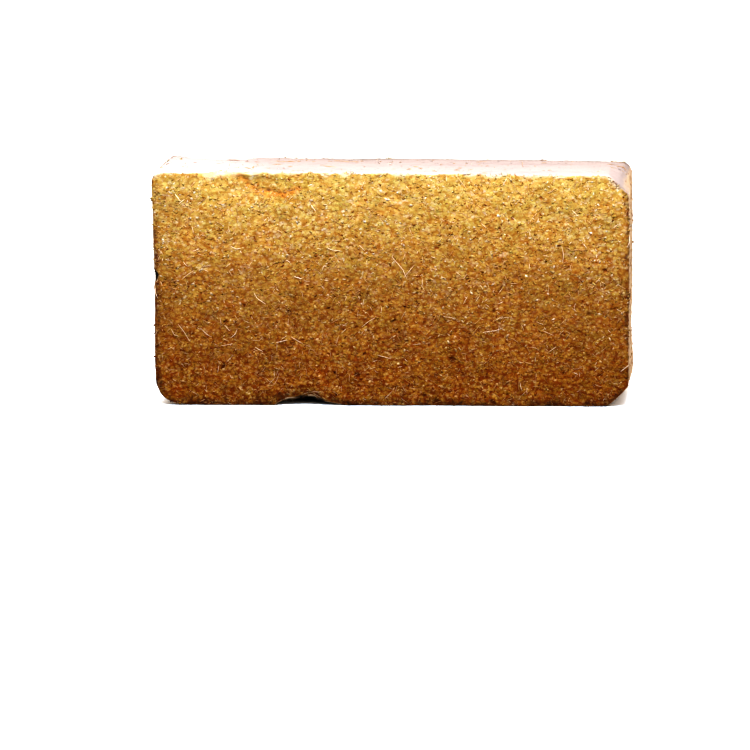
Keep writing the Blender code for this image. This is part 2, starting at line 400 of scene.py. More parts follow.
def smooth_noise(points, period, seed):
    """Smooth noise from -1 to 1 at each point. Its lumps are one period across."""
    heights = np.random.default_rng(seed).uniform(-1, 1, (LATTICE,) * 3)
    cells = points / period
    low = np.floor(cells).astype(int)
    part = cells - low
    part = part * part * (3 - 2 * part)
    total = np.zeros(len(points))
    for corner in itertools.product((0, 1), repeat=3):
        share = np.prod(np.where(corner, part, 1 - part), axis=1)
        i, j, k = ((low + corner) % LATTICE).T
        total += share * heights[i, j, k]
    return total


def crumb_noise(points, period, seed):
    """About 1 on top of packed crumbs one period across, and near 0 in the gaps between them."""
    jitter = np.random.default_rng(seed).random((LATTICE,) * 3 + (3,))
    cells = points / period
    low = np.floor(cells).astype(int)
    nearest = np.full(len(points), 4.0)
    for step in itertools.product((-1, 0, 1), repeat=3):
        cell = low + step
        i, j, k = (cell % LATTICE).T
        gap = cell + jitter[i, j, k] - cells
        nearest = np.minimum(nearest, np.einsum("ij,ij->i", gap, gap))
    return 1 - np.minimum(nearest, 1.0)


def sparse_spots(points, period, share, radius, seed):
    """1 in the middle of sparse spots and 0 outside them. Only a share of the cells has a spot."""
    rng = np.random.default_rng(seed)
    jitter = rng.random((LATTICE,) * 3 + (3,))
    reach = radius * rng.uniform(*SPOT_RADII, (LATTICE,) * 3) * (rng.random((LATTICE,) * 3) < share)
    cells = points / period
    low = np.floor(cells).astype(int)
    deepest = np.zeros(len(points))
    for step in itertools.product((-1, 0, 1), repeat=3):
        cell = low + step
        i, j, k = (cell % LATTICE).T
        gap = np.linalg.norm(cell + jitter[i, j, k] - cells, axis=1)
        deepest = np.maximum(deepest, 1 - gap / np.maximum(reach[i, j, k], TINY))
    return deepest


def distance_to_line(points, line):
    """Distance of each 2-D point to the nearest stretch of a line through the given corners."""
    best = np.full(len(points), np.inf)
    for start, end in zip(line, line[1:]):
        start, end = np.array(start), np.array(end)
        along = end - start
        share = np.clip((points - start) @ along / (along @ along), 0, 1)
        best = np.minimum(best, np.linalg.norm(points - start - share[:, None] * along, axis=1))
    return best


def spot(places, centre, size):
    """1 at the centre of an ellipse or ellipsoid and 0 from its rim outwards."""
    away = (places - np.array(centre)) / np.array(size)
    return np.clip(1 - np.einsum("ij,ij->i", away, away), 0, 1)


def fading(distance, width, end):
    """1 near a line or rim, and 0 from the given number of widths away from it."""
    return np.clip(end - distance / width, 0, 1)


def facing(cosines, start, reach):
    """How far a surface faces an axis, from 0 at the start to 1."""
    return np.clip((cosines - start) / reach, 0, 1)


def front_places(points):
    """X and Z of the points in millimetres, and how close each is to the front face, from 0 to 1."""
    nearness = np.clip(1 - (points[:, 1] - FRONT_Y) / FRONT_DEPTH, 0, 1)
    return points[:, (0, 2)] / MM, nearness


def ragged(points, size, seed):
    """The points pushed about, so that what is measured from them has no smooth outline."""
    waves = [smooth_noise(points, RAGGED_WAVES * size, seed + step) for step in range(3)]
    return points + size * np.stack(waves, 1)


def pits_at(points):
    """How deep in a small pit each point is, from 0 to 1. The pith darkens pits with painted shade."""
    moved = ragged(points, *RAGGED_PITS)
    places, nearness = front_places(moved)
    deepest = sparse_spots(moved, *RANDOM_PITS)
    wide, high = PIT_OUTLINE
    for x, z, radius in PITS:
        pit = spot(places, (x, z), (wide * radius, high * radius))
        deepest = np.maximum(deepest, pit * nearness)
    return np.clip(SPOT_GAIN * deepest, 0, 1)


def soiled_and_shaded_at(points):
    """How black each point is, from dirt and painted shade: in the hole of the left edge and in the notch of
    the lower edge.
    """
    moved = ragged(points, *RAGGED_GRIME_AND_SHADE)
    places, nearness = front_places(moved)
    hole = spot(places, HOLE_PLACE, HOLE_SIZE) * nearness
    notch = spot(moved / MM, NOTCH_PLACE, NOTCH_SIZE)
    return np.clip(SPOT_GAIN * np.maximum(hole, notch), 0, 1)


def stain_at(points):
    """How reddish-brown each point is: in the scar."""
    places, nearness = front_places(ragged(points, *RAGGED_STAIN))
    return fading(distance_to_line(places, SCAR), SCAR_HALF_WIDTH, STAIN_END) * nearness


def wear_and_painted_shade_at(points, top, surface):
    """How dark each point is: the front's rims, partly wear and partly painted shade, painted shade on its
    upper left corner, and painted shade along the top's back edge.
    """
    moved = ragged(points, *RAGGED_RIM)
    places, nearness = front_places(moved)
    rim = SHADED_CORNER_SHARE * spot(places, SHADED_CORNER_PLACE, SHADED_CORNER_SIZE)
    for side, widths, heights in RIMS:
        width = np.interp(places[:, 1], heights, widths)
        near = np.flatnonzero((nearness > 0) & surface.beside(side, points, RIM_REACH))
        inset = surface.distance_to(side, moved[near]) / MM
        rim[near] = np.maximum(rim[near], fading(inset, width[near], RIM_END))
    # Painted shade along the top's back edge
    back_edge = BACK_RIM_SHARE * fading(BACK_Y - moved[:, 1], BACK_RIM, BACK_RIM_END) * top
    towards_right = fading(-points[:, 0], BACK_RIM_FADE, BACK_RIM_START)
    return np.maximum(rim * nearness, back_edge * towards_right)


def edge_highlight_at(points, surface):
    """How much painted highlight each point has: along the upper edge, and in a patch under it."""
    moved = ragged(points, *RAGGED_PALE)
    places, nearness = front_places(moved)
    pale = spot(places, PALE_PLACE, PALE_SIZE)
    near = np.flatnonzero((nearness > 0) & surface.beside("top", points, RIM_REACH))
    inset = surface.distance_to("top", moved[near]) / MM
    pale[near] = np.maximum(pale[near], fading(inset, HIGHLIGHT_WIDTH, PALE_END))
    return pale * nearness


def add_attribute(mesh, name, values):
    """Stores one number per point of the mesh for its material to read."""
    mesh.attributes.new(name, "FLOAT", "POINT").data.foreach_set("value", np.asarray(values, np.float32))


def add_marks(mesh, points, large, top, surface):
    """Stores what the materials need to know about each point of the bale."""
    add_attribute(mesh, "large", large)
    add_attribute(mesh, "top", top)
    add_attribute(mesh, "grime_and_shade", soiled_and_shaded_at(points))
    add_attribute(mesh, "stain", stain_at(points))
    add_attribute(mesh, "rim", wear_and_painted_shade_at(points, top, surface))
    add_attribute(mesh, "pale", edge_highlight_at(points, surface))


def mesh_arrays(mesh):
    """Points, point normals and triangles of a mesh, as arrays."""
    points = np.zeros(len(mesh.vertices) * 3)
    mesh.vertices.foreach_get("co", points)
    normals = np.zeros(len(mesh.vertices) * 3, np.float32)
    mesh.vertex_normals.foreach_get("vector", normals)
    mesh.calc_loop_triangles()
    triangles = np.zeros(len(mesh.loop_triangles) * 3, np.int32)
    mesh.loop_triangles.foreach_get("vertices", triangles)
    return points.reshape(-1, 3), normals.reshape(-1, 3).astype(float), triangles.reshape(-1, 3)


def add_piece(name, mesh, material):
    """Puts a mesh into the scene as one piece of the bale."""
    mesh.materials.clear()
    mesh.materials.append(material)
    mesh.shade_smooth()
    piece = bpy.data.objects.new(name, mesh)
    bpy.context.scene.collection.objects.link(piece)
    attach(piece, "root")
    return piece


def triangle_mesh(name, points, triangles):
    """A mesh from arrays of points and triangles."""
    mesh = bpy.data.meshes.new(name)
    mesh.vertices.add(len(points))
    mesh.vertices.foreach_set("co", points.astype(np.float32).ravel())
    mesh.loops.add(triangles.size)
    mesh.loops.foreach_set("vertex_index", triangles.astype(np.int32).ravel())
    mesh.polygons.add(len(triangles))
    mesh.polygons.foreach_set("loop_start", np.arange(0, triangles.size, 3, dtype=np.int32))
    mesh.update(calc_edges=True)
    mesh.validate()
    return mesh


def with_modifier(mesh, kind, **settings):
    """A new mesh: the given one after one modifier."""
    carrier = bpy.data.objects.new("carrier", mesh)
    bpy.context.scene.collection.objects.link(carrier)
    modifier = carrier.modifiers.new(kind, kind)
    for setting, value in settings.items():
        setattr(modifier, setting, value)
    graph = bpy.context.evaluated_depsgraph_get()
    changed = bpy.data.meshes.new_from_object(carrier.evaluated_get(graph))
    bpy.data.objects.remove(carrier)
    return changed


def plain_bale():
    """The frame's bale as one closed mesh without split points."""
    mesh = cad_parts[NODE].data.copy()
    joined = bmesh.new()
    joined.from_mesh(mesh)
    bmesh.ops.remove_doubles(joined, verts=joined.verts, dist=WELD_DISTANCE)
    joined.to_mesh(mesh)
    joined.free()
    return mesh


def relief_at(points, normals):
    """How far the relief lifts each point: packed crumbs on the large faces, fine grain on the others."""
    large = facing(np.abs(normals[:, 1]), *RELIEF_FACING)
    warped = ragged(points, *RAGGED_RELIEF)
    warped[:, 2] *= FLATTENED
    layers = [size * (crumb_noise(warped, period, seed) - PACKED_LEVEL) for period, size, seed in FACE_RELIEF]
    coarse = sum(layers) - PIT_DEPTH * pits_at(points)
    fine = sum(size * smooth_noise(points, period, seed) for period, size, seed in SIDE_RELIEF)
    places, nearness = front_places(points)
    scar = fading(distance_to_line(places, SCAR), SCAR_HALF_WIDTH, SCAR_END) * nearness
    hole = spot(places, HOLE_PLACE, HOLE_SIZE) * nearness
    return large * coarse + (1 - large) * fine - SCAR_DEPTH * scar - HOLE_DEPTH * hole


def make_body(plain, surface, material):
    """The bale's solid mass with its relief."""
    fine = with_modifier(plain, "REMESH", mode="VOXEL", voxel_size=BODY_VOXEL)
    points, normals, triangles = mesh_arrays(fine)
    points = points + normals * relief_at(points, normals)[:, None]
    points[:, 2] = np.maximum(points[:, 2], LOW.z)
    fine.vertices.foreach_set("co", points.astype(np.float32).ravel())
    fine.update()
    share = min(1.0, BODY_TRIANGLES / len(triangles))
    body = with_modifier(fine, "DECIMATE", ratio=share, use_collapse_triangulate=True)
    points, normals, _ = mesh_arrays(body)
    large = facing(np.abs(normals[:, 1]), *LARGE_FACING)
    top = facing(normals[:, 2], *TOP_FACING)
    add_marks(body, points, large, top, surface)
    # The pit attribute carries the painted shade in pits
    add_attribute(body, "pit", pits_at(points))
    piece = add_piece("bale_body", body, material)
    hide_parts(NODE)


class Surface:
    """The plain surface of the bale, to scatter on and to lay things along."""

    def __init__(self, mesh):
        self.points, _, self.triangles = mesh_arrays(mesh)
        corners = self.points[self.triangles]
        cross = np.cross(corners[:, 1] - corners[:, 0], corners[:, 2] - corners[:, 0])
        self.areas = np.linalg.norm(cross, axis=1) / 2
        self.normals = unit(cross)
        self.tree = BVHTree.FromPolygons(self.points.tolist(), self.triangles.tolist())

    def on_side(self, side):
        """Which triangles belong to a side of the bale."""
        axis, sign = SIDES[side]
        main = np.argmax(np.abs(self.normals), axis=1)
        return (main == axis) & (self.normals[:, axis] * sign > 0)

    def beside(self, side, points, reach):
        """Which points are within reach of a side, as measured along its axis."""
        axis, sign = SIDES[side]
        return points[:, axis] * sign > (self.points[:, axis] * sign).max() - reach

    def distance_to(self, side, points):
        """Distance of each point to the nearest triangle of a side."""
        tree = BVHTree.FromPolygons(self.points.tolist(), self.triangles[self.on_side(side)].tolist())
        return np.array([tree.find_nearest(Vector(point))[3] for point in points])

    def scatter(self, side, count, rng):
        """Random points of a side and the normals there, as many for each bit of area."""
        chosen = np.flatnonzero(self.on_side(side))
        weights = self.areas[chosen] / self.areas[chosen].sum()
        picked = rng.choice(chosen, count, p=weights)
        a, b = np.sqrt(rng.random(count)), rng.random(count)
        shares = np.stack([1 - a, a * (1 - b), a * b], 1)
        return np.einsum("ij,ijk->ik", shares, self.points[self.triangles[picked]]), self.normals[picked]

    def nearest(self, points):
        """The surface's nearest point to each point, and the normal there."""
        hits = [self.tree.find_nearest(Vector(point))[:2] for point in points.reshape(-1, 3)]
        places = np.array([hit[0] for hit in hits]).reshape(points.shape)
        normals = np.array([hit[1] for hit in hits]).reshape(points.shape)
        return places, normals


def on_front(places):
    """Points of the front plane at the given X and Z in millimetres."""
    flat = np.asarray(places, float) * MM
    return np.insert(flat, 1, FRONT_Y, axis=-1)


def tangents(normals, rng, level=0.0):
    """A direction along the surface at each normal, and the one across it: random, or drawn to the level."""
    loose = rng.normal(size=normals.shape)
    loose[:, 0] += level * np.sign(loose[:, 0])
    along = unit(loose - np.einsum("ij,ij->i", loose, normals)[:, None] * normals)
    return along, np.cross(normals, along)


def crumb_tones(count, rng):
    """A tone per crumb, most of them near the middle, and a few very dark or very pale."""
    tones = np.clip(rng.normal(TONE_MIDDLE, TONE_VARIETY, count), *TONE_LIMITS)
    chance = rng.random(count)
    tones[chance < DARK_SHARE] = 0.0
    tones[chance > 1 - PALE_SHARE] = 1.0
    return tones


def crumb_shells(centres, normals, rng):
    """Irregular low lumps, each a closed shell of ten triangles round its centre."""
    count = len(centres)
    tilted = unit(normals + CRUMB_TILT * rng.normal(size=normals.shape))
    along, across = tangents(tilted, rng, CRUMB_LEVEL)
    shortest, longest = CRUMB_LENGTH
    length = shortest + (longest - shortest) * rng.random(count) ** CRUMB_SHORTNESS
    width = length * rng.uniform(*CRUMB_WIDTH, count)
    height = rng.uniform(*CRUMB_HEIGHT, count)
    centres = centres - normals * (CRUMB_SINK * height)[:, None]
    angles = 2 * math.pi * (RING_STEPS + rng.uniform(-RING_JITTER, RING_JITTER, (count, RING))) / RING
    reach = rng.uniform(*RING_REACH, (count, RING))
    wide = (np.cos(angles) * reach * length[:, None] / 2)[:, :, None] * along[:, None, :]
    deep = (np.sin(angles) * reach * width[:, None] / 2)[:, :, None] * across[:, None, :]
    rise = (rng.uniform(*RING_RISE, (count, RING)) * height[:, None])[:, :, None] * tilted[:, None, :]
    ring = centres[:, None, :] + wide + deep + rise
    tops = (centres + tilted * height[:, None])[:, None, :]
    feet = (centres - tilted * height[:, None])[:, None, :]
    points = np.concatenate([tops, feet, ring], axis=1)
    points[:, :, 2] = np.maximum(points[:, :, 2], LOW.z)
    return points.reshape(-1, 3)


def make_crumbs(surface, side, count, material, rng):
    """Loose crumbs pressed into one side, none over a pit, and only on the front near rounded edges."""
    axis, sign = SIDES[side]
    centres, normals = surface.scatter(side, count, rng)
    least = CRUMB_FACING_FRONT if side == "front" else CRUMB_FACING
    clear = (pits_at(centres) < CRUMB_PIT_LIMIT) & (normals[:, axis] * sign > least)
    centres, normals = centres[clear], normals[clear]
    centres = centres + normals * relief_at(centres, normals)[:, None]
    tones = crumb_tones(len(centres), rng)
    if side == "front":
        flecks, outs = surface.nearest(on_front(FLECKS))
        centres = np.concatenate([centres, flecks])
        normals = np.concatenate([normals, outs])
        tones = np.concatenate([tones, np.ones(len(FLECKS))])
    points = crumb_shells(centres, normals, rng)
    firsts = np.arange(len(centres)) * CRUMB_POINTS
    triangles = (CRUMB_TRIANGLES[None] + firsts[:, None, None]).reshape(-1, 3)
    mesh = triangle_mesh(f"crumbs_{side}", points, triangles)
    large = np.full(len(points), side in ("front", "back"))
    top = np.full(len(points), side == "top")
    add_marks(mesh, points, large, top, surface)
    add_attribute(mesh, "tone", np.repeat(tones, CRUMB_POINTS))
    add_piece(mesh.name, mesh, material)


def fibre_paths(surface, starts, along, normals, lengths, shape, rng):
    """Curved paths along the surface, dipping in at their ends. Some rise off it at one end."""
    steps, _, bend = shape
    count = len(starts)
    turn = rng.normal(size=(count, 1)) * bend + rng.normal(size=(count, steps)) * bend * FIBRE_WAVE
    paths = np.zeros((count, steps, 3))
    place, heading = starts.copy(), along.copy()
    for step in range(steps):
        paths[:, step] = place
        heading = unit(heading + turn[:, step][:, None] * np.cross(normals, heading))
        place = place + heading * (lengths / (steps - 1))[:, None]
    free = np.where(rng.random(count) < FREE_SHARE, rng.uniform(*FREE_RISE, count), 0.0)
    return lay_on(surface, paths, rng.uniform(*FIBRE_LIFT, count), free)


def lay_on(surface, paths, lift, free):
    """Paths moved onto the surface's relief, arched and with free ends, and the normals along them."""
    paths, out = surface.nearest(paths)
    seat = relief_at(paths.reshape(-1, 3), out.reshape(-1, 3)).reshape(paths.shape[:2])
    share = np.linspace(0, 1, paths.shape[1])
    arch = lift[:, None] * (np.sin(math.pi * share) ** 0.5 * ARCH_HEIGHT - ARCH_DIP)
    rise = free[:, None] * share ** 2
    return paths + out * (seat.mean(axis=1)[:, None] + arch + rise)[:, :, None], out


def tube_mesh(name, paths, out, radius, sides, tone):
    """Thin tapered tubes along paths, joined into one mesh, with a tone per tube."""
    count, steps, _ = paths.shape
    ahead = np.gradient(paths, axis=1)
    across = unit(np.cross(ahead, out))
    up = unit(np.cross(across, ahead))
    share = np.linspace(0, 1, steps)
    taper = 1 - TAPER * np.abs(2 * share - 1) ** TAPER_POWER
    reach = radius[:, None] * taper
    angles = 2 * math.pi * np.arange(sides) / sides
    rings = (np.cos(angles)[None, None, :, None] * across[:, :, None, :]
             + np.sin(angles)[None, None, :, None] * up[:, :, None, :])
    points = paths[:, :, None, :] + rings * reach[:, :, None, None]
    points[..., 2] = np.maximum(points[..., 2], LOW.z)
    one = []
    for step, side in itertools.product(range(steps - 1), range(sides)):
        a, b = step * sides + side, step * sides + (side + 1) % sides
        one += [(a, b, b + sides), (a, b + sides, a + sides)]
    last = (steps - 1) * sides
    for side in range(1, sides - 1):
        one += [(0, side + 1, side), (last, last + side, last + side + 1)]
    size = steps * sides
    triangles = (np.array(one)[None] + (np.arange(count) * size)[:, None, None]).reshape(-1, 3)
    mesh = triangle_mesh(name, points.reshape(-1, 3), triangles)
    add_attribute(mesh, "tone", np.repeat(tone, size))
    return mesh


def make_fibres(name, surface, counts, span, radius, shape, material, rng):
    """Fibres scattered over every side, joined into one piece."""
    scattered = [surface.scatter(side, count, rng) for side, count in counts.items()]
    starts = np.concatenate([places for places, _ in scattered])
    normals = np.concatenate([outs for _, outs in scattered])
    count = len(starts)
    along, _ = tangents(normals, rng)
    shortest, longest = span
    lengths = shortest + (longest - shortest) * rng.random(count) ** FIBRE_SHORTNESS
    paths, out = fibre_paths(surface, starts, along, normals, lengths, shape, rng)
    tones = np.clip(rng.normal(*FIBRE_TONES, count), 0, 1)
    mesh = tube_mesh(name, paths, out, rng.uniform(*radius, count), shape[1], tones)
    add_piece(name, mesh, material)


def make_front_fibres(surface, material, rng):
    """The pale fibres that stand out on the front face."""
    steps, sides, _ = LONG_SHAPE
    paths = np.zeros((len(FRONT_FIBRES), steps, 3))
    for number, line in enumerate(FRONT_FIBRES):
        corners = on_front(line)
        at = np.linspace(0, len(corners) - 1, steps)
        for axis in range(3):
            paths[number, :, axis] = np.interp(at, np.arange(len(corners)), corners[:, axis])
    count = len(paths)
    paths, out = lay_on(surface, paths, np.full(count, FIBRE_LIFT[1]), np.zeros(count))
    radius = rng.uniform(*FRONT_FIBRE_RADIUS, count)
    tones = rng.uniform(*FRONT_FIBRE_TONES, count)
    mesh = tube_mesh("fibres_front", paths, out, radius, sides, tones)
    add_piece(mesh.name, mesh, material)


class Nodes:
    """Short calls to build a node material."""

    def __init__(self, name):
        self.material = bpy.data.materials.new(name)
        self.material.use_nodes = True
        self.tree = self.material.node_tree
        self.shader = self.tree.nodes["Principled BSDF"]
        self.place = self.add("ShaderNodeTexCoord").outputs["Object"]

    def add(self, kind, **settings):
        """A new node with its settings."""
        node = self.tree.nodes.new(kind)
        for setting, value in settings.items():
            setattr(node, setting, value)
        return node

    def feed(self, socket, value):
        """Links or sets an input."""
        if isinstance(value, bpy.types.NodeSocket):
            self.tree.links.new(value, socket)
        else:
            socket.default_value = value

    def coordinate(self, axis):
        """The object's own X, Y or Z."""
        node = self.add("ShaderNodeSeparateXYZ")
        self.feed(node.inputs[0], self.place)
        return node.outputs[axis]

    def noise(self, name, place=None):
        """One of the named noises."""
        period, detail, roughness, seed = NOISES[name]
        node = self.add("ShaderNodeTexNoise", noise_dimensions="4D")
        self.feed(node.inputs["Vector"], place or self.place)
        node.inputs["W"].default_value = seed
        node.inputs["Scale"].default_value = 1 / period
        node.inputs["Detail"].default_value = detail
        node.inputs["Roughness"].default_value = roughness
        return node.outputs["Fac"]

    def cells(self, period, place):
        """A colour for each cell, and the distance from the cell's centre."""
        node = self.add("ShaderNodeTexVoronoi", feature="F1")
        self.feed(node.inputs["Vector"], place)
        node.inputs["Scale"].default_value = 1 / period
        return node.outputs["Color"], node.outputs["Distance"]

    def attribute(self, name):
        """A number that is stored on the mesh."""
        return self.add("ShaderNodeAttribute", attribute_name=name).outputs["Fac"]

    def math(self, operation, a, b=0.0, c=0.0):
        """The result of one math node."""
        node = self.add("ShaderNodeMath", operation=operation)
        for socket, value in zip(node.inputs, (a, b, c)):
            self.feed(socket, value)
        return node.outputs[0]

    def times(self, a, b):
        """Two numbers multiplied."""
        return self.math("MULTIPLY", a, b)

    def span(self, value, name):
        """The value stretched from one range to another, and held there."""
        node = self.add("ShaderNodeMapRange")
        self.feed(node.inputs["Value"], value)
        for socket, number in zip(("From Min", "From Max", "To Min", "To Max"), SPANS[name]):
            node.inputs[socket].default_value = number
        return node.outputs["Result"]

    def pattern(self, name, place=None):
        """A named noise, stretched by the span of the same name."""
        return self.span(self.noise(name, place), name)

    def ramp(self, value, stops):
        """A colour ramp through (position, linear RGB) stops."""
        node = self.add("ShaderNodeValToRGB")
        self.feed(node.inputs["Fac"], value)
        elements = node.color_ramp.elements
        while len(elements) < len(stops):
            elements.new(0.5)
        for element, (position, colour) in zip(elements, stops):
            element.position = position
            element.color = (*colour, 1.0)
        return node.outputs["Color"]

    def mix(self, share, a, b, blend="MIX"):
        """Colours a and b, mixed or else multiplied."""
        node = self.add("ShaderNodeMix", data_type="RGBA", blend_type=blend)
        self.feed(node.inputs["Factor"], share)
        for number, value in zip(MIX_COLOURS, (a, b)):
            colour = value if isinstance(value, bpy.types.NodeSocket) else (*value, 1.0)
            self.feed(node.inputs[number], colour)
        return node.outputs[MIX_COLOUR_OUT]

    def tint(self, colour, factors):
        """A colour multiplied by another."""
        return self.mix(1.0, colour, factors, "MULTIPLY")

    def between(self, share, a, b):
        """A number between a and b."""
        node = self.add("ShaderNodeMix", data_type="FLOAT")
        self.feed(node.inputs[0], share)
        for number, value in zip(MIX_NUMBERS, (a, b)):
            self.feed(node.inputs[number], value)
        return node.outputs[0]

    def stretched(self, place, factors):
        """Coordinates for patterns that are drawn out along an axis whose factor is small."""
        node = self.add("ShaderNodeVectorMath", operation="MULTIPLY")
        self.feed(node.inputs[0], place)
        node.inputs[1].default_value = factors
        return node.outputs[0]

    def warp(self, period, size):
        """The object coordinates, pushed about by noise."""
        node = self.add("ShaderNodeTexNoise")
        self.feed(node.inputs["Vector"], self.place)
        node.inputs["Scale"].default_value = 1 / period
        centred = self.add("ShaderNodeVectorMath", operation="SUBTRACT")
        self.feed(centred.inputs[0], node.outputs["Color"])
        centred.inputs[1].default_value = (0.5, 0.5, 0.5)
        scaled = self.add("ShaderNodeVectorMath", operation="MULTIPLY_ADD")
        self.feed(scaled.inputs[0], centred.outputs[0])
        scaled.inputs[1].default_value = (size, size, size)
        self.feed(scaled.inputs[2], self.place)
        return scaled.outputs[0]

    def bump(self, height, distance, strength):
        """Bends the light by a fine relief."""
        node = self.add("ShaderNodeBump")
        self.feed(node.inputs["Height"], height)
        node.inputs["Distance"].default_value = distance
        node.inputs["Strength"].default_value = strength
        self.feed(self.shader.inputs["Normal"], node.outputs["Normal"])

    def finish(self, colour, roughness):
        """Links the shader, and returns the material."""
        self.feed(self.shader.inputs["Base Color"], colour)
        self.feed(self.shader.inputs["Roughness"], roughness)
        self.shader.inputs["Specular IOR Level"].default_value = SPECULAR
        return self.material


def level_of(m):
    """0 near the lower edge of the bale and 1 near the upper one, with a ragged change between them."""
    uneven = m.math("MULTIPLY_ADD", m.noise("uneven"), UNEVEN_SIZE, -UNEVEN_SIZE / 2)
    return m.span(m.math("ADD", m.coordinate("Z"), uneven), "level")


def spread_tone(m, tone, level):
    """The tone, drawn apart near the lower edge and evened out near the upper one."""
    from_middle = m.math("SUBTRACT", tone, TONE_MIDDLE)
    return m.math("MULTIPLY_ADD", from_middle, m.span(level, "tone_spread"), TONE_MIDDLE)


def mottled(m, colour, level):
    """The colour with lighter and darker patches that lie level, most of all near the lower edge."""
    place = m.stretched(m.place, PATCH_STRETCH)
    shade = m.times(m.pattern("wide", place), m.pattern("narrow", place))
    tufts = m.ramp(m.noise("tufts", place), TUFT_RAMP)
    patches = m.tint(shade, tufts)
    return m.mix(m.span(level, "mottling"), colour, m.tint(colour, patches))


def tinted(m, colour, level):
    """The colour, paler near the upper edge and redder near the lower one, with patches of either hue. The
    change with height is painted light: the strong light from above and the warm light bounced up from below.
    """
    by_height = m.tint(mottled(m, colour, level), m.ramp(level, TINT_RAMP))
    return m.tint(by_height, m.ramp(m.noise("hue"), HUE_RAMP))


def marked(m, colour):
    """The colour with the bale's marks: a painted highlight along the upper edge, the stained scar, dark rims
    of wear and painted shade, and black dirt and painted shade.
    """
    fine = m.pattern("fine")
    # Painted highlight along the upper edge
    colour = m.mix(m.times(m.attribute("pale"), HIGHLIGHT_STRENGTH), colour, EDGE_HIGHLIGHT)
    colour = m.mix(m.times(m.attribute("stain"), STAIN_STRENGTH), colour, m.mix(fine, RUST, SCAR_ORANGE))
    # Dark rims, partly wear and partly painted shade
    worn_and_shaded = m.times(m.attribute("rim"), m.pattern("broken"))
    colour = m.mix(worn_and_shaded, colour, m.mix(fine, RIM_WEAR_AND_SHADE, UMBER))
    # Black dirt and painted shade in the hole and the notch
    return m.mix(m.attribute("grime_and_shade"), colour, GRIME_AND_SHADE_BLACK)


def greyed(m, colour):
    """A narrow side's colour, made greyer on the upper side, and paler towards its left end. Both are painted
    light, standing in for the upper side washed out by the strong light above.
    """
    tone = m.mix(m.span(m.coordinate("X"), "top_fade"), TOP_PALE, TOP_TONE)
    return m.mix(m.attribute("top"), colour, m.mix(GREY_SHARE, colour, tone))


def face_colour(m, crumbs, grains, level):
    """Packed crumbs from tan to rust, with painted shade in the gaps and pits between them."""
    crumb_colour, crumb_distance = crumbs
    _, grain_distance = grains
    tone = m.math("MULTIPLY_ADD", crumb_colour, CELL_TONE, m.times(m.noise("packed"), PACKED_TONE))
    face = m.ramp(spread_tone(m, tone, level), FACE_RAMP)
    # Painted shade in the gaps between crumbs, weaker towards the upper edge
    depth = m.span(level, "gap_shade_depth")
    face = m.mix(m.times(m.span(crumb_distance, "gaps"), depth), face, RUST)
    deep = m.mix(m.times(level, GAP_SHADE_WARMTH), UMBER, RUST)
    face = m.mix(m.times(m.span(grain_distance, "fine_gap_shade"), depth), face, deep)
    # Painted shade in the pits
    return m.mix(m.times(m.attribute("pit"), PIT_SHADE_SHARE), tinted(m, face, level), deep)


def side_colour(m, grain, mottle, cracks, scrapes):
    """Fine tan material with thin brown cracks and pale scrapes along its layers. The cracks' brown is partly
    their own colour and partly painted shade.
    """
    side = m.ramp(grain, SIDE_RAMP)
    side = m.mix(m.span(mottle, "evened"), side, SIDE_TAN)
    side = m.mix(m.times(scrapes, SCRAPE_SHARE), side, SIDE_PALE)
    # Cracks darkened brown, partly their own colour and partly painted shade
    side = m.mix(m.times(cracks, CRACK_SHARE), side, SIDE_BROWN)
    return greyed(m, side)


def pith_material():
    """The pressed pith: packed crumbs on the large faces, finer tan layers on the narrow sides."""
    m = Nodes("coir_pith")
    warped = m.stretched(m.warp(*CELL_WARP), CELL_STRETCH)
    crumbs = m.cells(CRUMB_CELL, warped)
    grains = m.cells(GRAIN_CELL, warped)
    grain = m.noise("grain")
    mottle = m.noise("mottle")
    layers = m.stretched(m.warp(*LAYER_WARP), LAYER_DRAW)
    cracks = m.pattern("cracks", layers)
    scrapes = m.pattern("scrapes", layers)
    large = m.span(m.math("MULTIPLY_ADD", mottle, EDGE_MOTTLE, m.attribute("large")), "large")
    face = face_colour(m, crumbs, grains, level_of(m))
    colour = marked(m, m.mix(large, side_colour(m, grain, mottle, cracks, scrapes), face))
    packed = m.math("SUBTRACT", m.times(grain, GRAIN_BUMP), m.times(crumbs[1], CELL_BUMP))
    packed = m.math("SUBTRACT", packed, m.times(grains[1], FINE_CELL_BUMP))
    layered = m.math("SUBTRACT", m.times(scrapes, SCRAPE_BUMP), m.times(cracks, CRACK_BUMP))
    m.bump(m.between(large, layered, packed), *PITH_BUMP)
    return m.finish(colour, m.span(grain, "pith_roughness"))


def own_tone(m, pattern):
    """The tone that a crumb or fibre has on its mesh, varied a little by a pattern."""
    return m.math("MULTIPLY_ADD", m.attribute("tone"), OWN_TONE, m.times(pattern, GRAIN_TONE))


def crumb_material():
    """Loose crumbs: each has its own tone, with finer grain inside it."""
    m = Nodes("coir_crumb")
    grain = m.noise("crumb")
    tone = own_tone(m, grain)
    level = level_of(m)
    face = tinted(m, m.ramp(spread_tone(m, tone, level), CRUMB_RAMP), level)
    side = greyed(m, m.ramp(tone, CRUMB_SIDE_RAMP))
    colour = marked(m, m.mix(m.attribute("large"), side, face))
    m.bump(grain, *CRUMB_BUMP)
    return m.finish(colour, m.span(grain, "crumb_roughness"))


def fibre_material():
    """Coconut fibres: pale to brown from one to the next, a little smoother than the pith."""
    m = Nodes("coir_fibre")
    streak = m.noise("streak")
    colour = m.ramp(own_tone(m, streak), FIBRE_RAMP)
    m.bump(streak, *FIBRE_BUMP)
    return m.finish(colour, m.span(streak, "fibre_roughness"))


